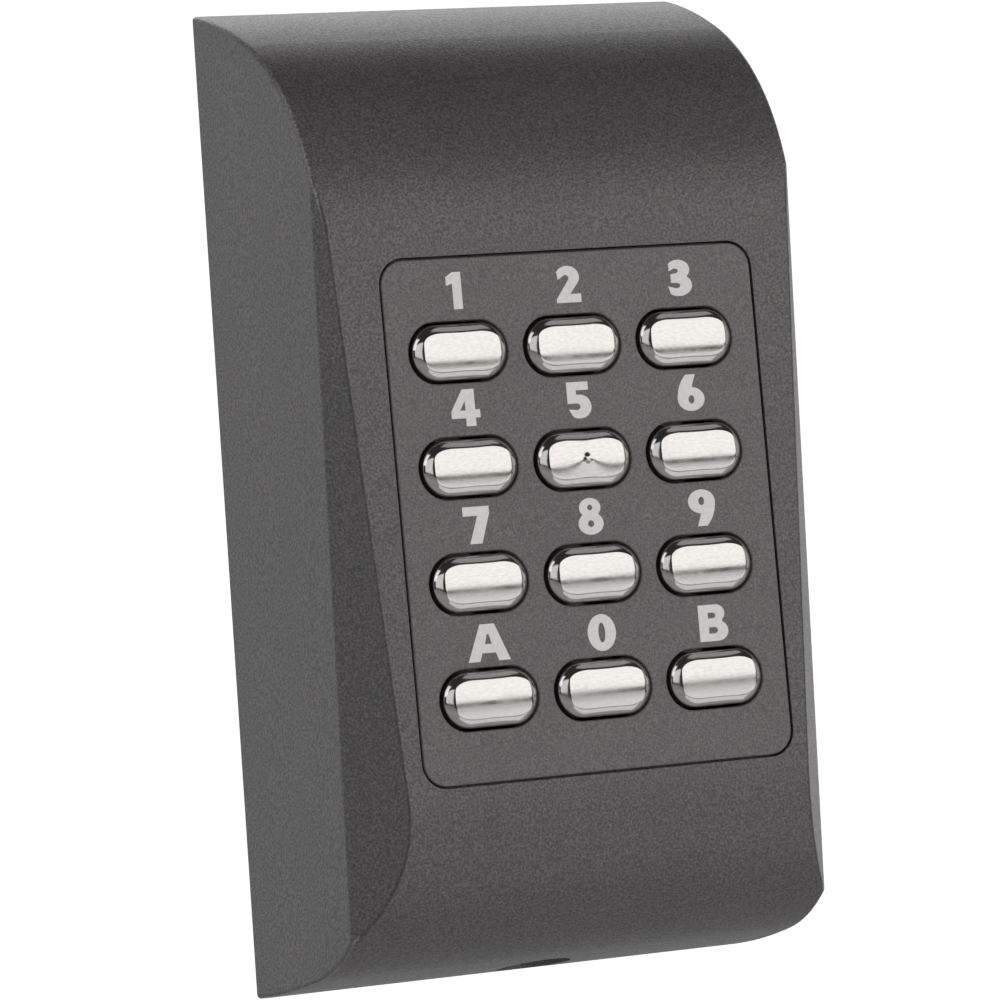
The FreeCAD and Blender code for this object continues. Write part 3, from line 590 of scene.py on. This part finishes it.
SIX = [
    [(1.05, 3.6), (2.12, 3.6)] + bow(1.5, 1.18, 1.5, 1.18, 84, -180) + bow(2.6, 1.18, 2.6, 2.98, 174, 132),
    round_hole(1.52, 1.14, 0.33, 0.42),
]
GLYPHS = {
    "1": [[(0.75, 0), (1.9, 0), (1.9, 3.6), (0.85, 3.6), (0, 3.15), (0, 2.3), (0.75, 2.5)]],
    "2": [
        bow(1.4, 2.5, 1.4, 1.1, 150, -38)
        + [(1.62, 0.84), (2.85, 0.84), (2.85, 0), (0, 0), (0, 0.4)]
        + bow(1.2, 2.4, 0.36, 0.32, -40, 110)
        + [(0.3, 2.28)]
    ],
    "3": [
        bow(1.25, 2.62, 1.25, 0.98, 140, -42)
        + bow(1.22, 1.08, 1.43, 1.08, 48, -128)
        + [(0.1, 1.02)]
        + bow(0.98, 1.06, 0.42, 0.27, -100, 90)
        + [(0.45, 1.33), (0.45, 2.2)]
        + bow(0.92, 2.5, 0.36, 0.24, -90, 110)
        + [(0.3, 2.5)]
    ],
    "4": [
        [(1.62, 0), (2.72, 0), (2.72, 0.8), (3.26, 0.8), (3.26, 1.6), (2.72, 1.6)]
        + [(2.72, 3.6), (1.38, 3.6), (0, 1.5), (0, 0.8), (1.62, 0.8)],
        [(1.62, 1.55), (1.02, 1.55), (1.62, 2.5)],
    ],
    "5": [
        [(0, 3.6), (2.6, 3.6), (2.6, 2.78), (1.1, 2.78), (1.1, 2.36)]
        + bow(1.42, 1.18, 1.43, 1.18, 92, -128)
        + [(0.1, 0.95)]
        + bow(1.1, 1.18, 0.42, 0.32, -100, 90)
        + [(0, 1.5)]
    ],
    "6": SIX,
    "7": [[(0, 3.6), (2.85, 3.6), (2.85, 2.9), (1.85, 0), (0.55, 0), (1.55, 2.7), (0, 2.7)]],
    "8": [
        bow(1.47, 2.65, 1.26, 0.95, -40, 220) + bow(1.47, 1.1, 1.47, 1.1, 130, 410),
        round_hole(1.47, 2.66, 0.3, 0.28),
        round_hole(1.47, 1.08, 0.36, 0.33),
    ],
    "9": [[(3.0 - x, 3.6 - y) for x, y in outline] for outline in SIX],
    "a": [
        [(0, 0), (1.3, 0), (1.6, 0.8), (3.1, 0.8), (3.4, 0), (4.7, 0), (3.15, 3.6), (1.55, 3.6)],
        [(1.98, 1.66), (2.72, 1.66), (2.46, 2.6), (2.24, 2.6)],
    ],
    "0": [bow(1.55, 1.8, 1.55, 1.8, 0, LAST_TURN), bow(1.55, 1.8, 0.37, 0.98, 0, LAST_TURN)],
    "b": [
        [(0, 0), (2.1, 0)]
        + bow(2.2, 1.0, 1.2, 1.0, -80, 62)
        + bow(2.05, 2.72, 1.06, 0.88, -48, 84)
        + [(0, 3.6)],
        [(1.12, 2.25)] + bow(1.68, 2.53, 0.34, 0.28, -90, 90) + [(1.12, 2.81)],
        [(1.12, 0.76)] + bow(1.78, 1.07, 0.4, 0.31, -90, 90) + [(1.12, 1.38)],
    ],
}


LEGEND_WIDTHS = {
    "1": 1.55,
    "2": 2.55,
    "3": 2.55,
    "4": 2.95,
    "5": 2.45,
    "6": 2.85,
    "7": 2.72,
    "8": 2.62,
    "9": 2.85,
    "a": 4.35,
    "0": 2.95,
    "b": 3.05,
}


def flat_solid(outlines, thickness):
    """Solid of even thickness about its own middle plane, from an outline and its holes."""
    curve = bpy.data.curves.new("flat", "CURVE")
    curve.dimensions = "2D"
    curve.fill_mode = "BOTH"
    curve.extrude = thickness / 2
    for outline in outlines:
        spline = curve.splines.new("POLY")
        spline.points.add(len(outline) - 1)
        for point, (x, y) in zip(spline.points, outline):
            point.co = (x, y, 0, 1)
        spline.use_cyclic_u = True
    holder = bpy.data.objects.new("flat", curve)
    mesh = bpy.data.meshes.new_from_object(holder)
    bpy.data.objects.remove(holder)
    bpy.data.curves.remove(curve)
    return mesh


def legend_mesh(name):
    """Thin solid of a digit or letter, in millimetres about its own middle."""
    outlines = GLYPHS[name]
    left = min(x for x, y in outlines[0])
    right = max(x for x, y in outlines[0])
    high = max(y for x, y in outlines[0])
    wide = LEGEND_WIDTHS[name] / (right - left)
    middle = (left + right) / 2
    placed = []
    for outline in outlines:
        placed.append([((x - middle) * wide, (y / high - 0.5) * LEGEND_HEIGHT) for x, y in outline])
    return flat_solid(placed, LEGEND_THICKNESS)


def legend_piece(name, row):
    low, high = face_box("key_" + name)
    surface = face_box("keypad_panel")[1][2]
    x = (low[0] + high[0]) / 2 + (LEGEND_ACROSS + LEGEND_ACROSS_PER_ROW * row) * MM
    up = (low[1] + high[1]) / 2 + (LEGEND_ABOVE_KEY - LEGEND_DROP_PER_ROW * row) * MM
    mesh = legend_mesh(name)
    mesh.transform(face_matrix(x, up, surface + LEGEND_THICKNESS / 2 * MM))
    mesh.materials.clear()
    mesh.materials.append(INK)
    piece = bpy.data.objects.new("legend_" + name, mesh)
    bpy.context.scene.collection.objects.link(piece)
    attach(piece, BODY)


# ---------------------------------------------------------------- stage, lights and camera

FLOOR_DROP = 0.45
SWEEP_START = 0.5
SWEEP_RADIUS = 0.7
SWEEP_TOP = 1.6
SWEEP_STEPS = 24
PAPER_LEVEL = 0.66
PAPER_ROUGHNESS = 0.9
PAPER_GLOSS = 0.1
STAGE_HALF_WIDTH = 4.0
STAGE_FRONT = -4.5
FLOOR_GLOW = 0.27
BACKDROP_GLOW = 0.85
LEFT_GLOW = 0.5
LEFT_START = -0.05
LEFT_END = 0.25
GLOW_LOW = -0.34
GLOW_HIGH = -0.24
GLOW_START = 0.6
GLOW_FULL = 1.1
ROOM_LIGHT = 0.04
ROOM_SEEN = 0.42
AIM = Vector((0, -0.02, 0))


def stage():
    """Pale floor below the object that curves up into a pale backdrop.

    The backdrop glows, with LEFT_GLOW of its full strength on the left. The far floor glows faintly, and the
    floor near the object doesn't.
    """
    floor = cad_box[0][2] - FLOOR_DROP
    path = [(STAGE_FRONT, floor), (SWEEP_START, floor)]
    for step in range(1, SWEEP_STEPS + 1):
        turn = math.radians(90 * step / SWEEP_STEPS)
        y = SWEEP_START + SWEEP_RADIUS * math.sin(turn)
        path.append((y, floor + SWEEP_RADIUS * (1 - math.cos(turn))))
    path.append((SWEEP_START + SWEEP_RADIUS, floor + SWEEP_TOP))
    points = [(side * STAGE_HALF_WIDTH, y, z) for y, z in path for side in (-1, 1)]
    faces = [(2 * k, 2 * k + 1, 2 * k + 3, 2 * k + 2) for k in range(len(path) - 1)]
    mesh = bpy.data.meshes.new("backdrop")
    mesh.from_pydata(points, [], faces)
    mesh.shade_smooth()
    material, tree, shader = new_material("backdrop_paper")
    shader.inputs["Base Color"].default_value = grey(PAPER_LEVEL)
    shader.inputs["Roughness"].default_value = PAPER_ROUGHNESS
    shader.inputs["Specular IOR Level"].default_value = PAPER_GLOSS
    shader.inputs["Emission Strength"].default_value = 1.0
    place, split = coordinates(tree, "Object")
    height = share(tree, split.outputs["Z"], GLOW_LOW, GLOW_HIGH)
    behind = ramp(tree, height, [(0.0, grey(0)), (1.0, grey(BACKDROP_GLOW))])
    across = share(tree, split.outputs["X"], LEFT_START, LEFT_END)
    left = ramp(tree, across, [(0.0, grey(LEFT_GLOW)), (1.0, grey(1))])
    away = tree.nodes.new("ShaderNodeVectorMath")
    away.operation = "DISTANCE"
    away.inputs[1].default_value = (AIM.x, AIM.y, floor)
    tree.links.new(place, away.inputs[0])
    reach = share(tree, away.outputs["Value"], GLOW_START, GLOW_FULL)
    around = ramp(tree, reach, [(0.0, grey(0)), (1.0, grey(FLOOR_GLOW))])
    glow = combine(tree, "LIGHTEN", combine(tree, "MULTIPLY", behind, left), around)
    tree.links.new(glow, shader.inputs["Emission Color"])
    mesh.materials.append(material)
    backdrop = bpy.data.objects.new("backdrop", mesh)
    bpy.context.scene.collection.objects.link(backdrop)


def softbox(name, azimuth, elevation, distance, width, height, radiance, color=(1, 1, 1)):
    """Rectangular light at an azimuth (0 in front, positive to the right) that faces the object."""
    light = bpy.data.lights.new(name, "AREA")
    light.shape = "RECTANGLE"
    light.size = width
    light.size_y = height
    light.energy = radiance * math.pi * width * height
    light.color = color
    around = math.radians(azimuth)
    above = math.radians(elevation)
    flat = math.cos(above)
    direction = Vector((math.sin(around) * flat, -math.cos(around) * flat, math.sin(above)))
    lamp = bpy.data.objects.new(name, light)
    lamp.location = AIM + direction * distance
    lamp.rotation_euler = direction.to_track_quat("Z", "Y").to_euler()
    bpy.context.scene.collection.objects.link(lamp)


def lights():
    """Nine softboxes, and a room that looks pale to the camera but gives the object little light."""
    softbox("key_softbox", 34, 14.5, 0.9, 1.25, 0.465, 1.72, (1.0, 0.975, 0.97))
    softbox("low_softbox", 30, -13.2, 0.9, 0.8, 0.33, 0.88)
    softbox("bevel_softbox", 26, -45, 0.5, 0.46, 0.2, 0.62)
    softbox("left_front_softbox", -45, 14, 0.9, 0.65, 0.5, 1.05, (1.0, 0.99, 0.98))
    softbox("left_softbox", -112, 8, 0.9, 0.75, 0.8, 0.55, (0.93, 0.98, 1.05))
    softbox("left_top_softbox", -85, 34, 0.9, 0.75, 0.55, 1.5, (0.97, 0.99, 1.02))
    softbox("right_softbox", 92, 8, 0.9, 0.5, 0.45, 0.45)
    softbox("top_softbox", 54, 56, 0.9, 0.45, 0.3, 0.42)
    softbox("back_softbox", 160, 36, 0.9, 1.3, 0.36, 1.35)
    world = bpy.data.worlds.new("studio")
    world.use_nodes = True
    tree = world.node_tree
    path = tree.nodes.new("ShaderNodeLightPath")
    levels = [(0.0, grey(ROOM_LIGHT)), (1.0, grey(ROOM_SEEN))]
    room = ramp(tree, path.outputs["Is Camera Ray"], levels)
    tree.links.new(room, tree.nodes["Background"].inputs["Color"])
    bpy.context.scene.world = world


CAMERA_PLACE = Vector((-0.26505, -0.51370, 0.01001))
CAMERA_YAW = math.radians(27.60)
CAMERA_PITCH = math.radians(-1.10)
CAMERA_ROLL = math.radians(-3.75)
CAMERA_LENS = 218.2
CAMERA_SENSOR = 36
CAMERA_NEAR = 0.01


def camera():
    forward = Vector(
        (
            math.sin(CAMERA_YAW) * math.cos(CAMERA_PITCH),
            math.cos(CAMERA_YAW) * math.cos(CAMERA_PITCH),
            math.sin(CAMERA_PITCH),
        )
    )
    level = Vector((math.cos(CAMERA_YAW), -math.sin(CAMERA_YAW), 0))
    top = level.cross(forward)
    right = math.cos(CAMERA_ROLL) * level + math.sin(CAMERA_ROLL) * top
    top = right.cross(forward)
    data = bpy.data.cameras.new("camera")
    data.lens = CAMERA_LENS
    data.sensor_width = CAMERA_SENSOR
    data.clip_start = CAMERA_NEAR
    holder = bpy.data.objects.new("camera", data)
    turn = Matrix((right, top, -forward)).transposed().to_4x4()
    holder.matrix_world = Matrix.Translation(CAMERA_PLACE) @ turn
    bpy.context.scene.collection.objects.link(holder)
    bpy.context.scene.camera = holder


dress_cad_nodes()
for row, names in enumerate(KEY_NAMES):
    for name in names:
        key_piece(name)
        legend_piece(name, row)
rubber_mat()
stage()
lights()
camera()
bpy.context.scene.view_settings.view_transform = "Standard"
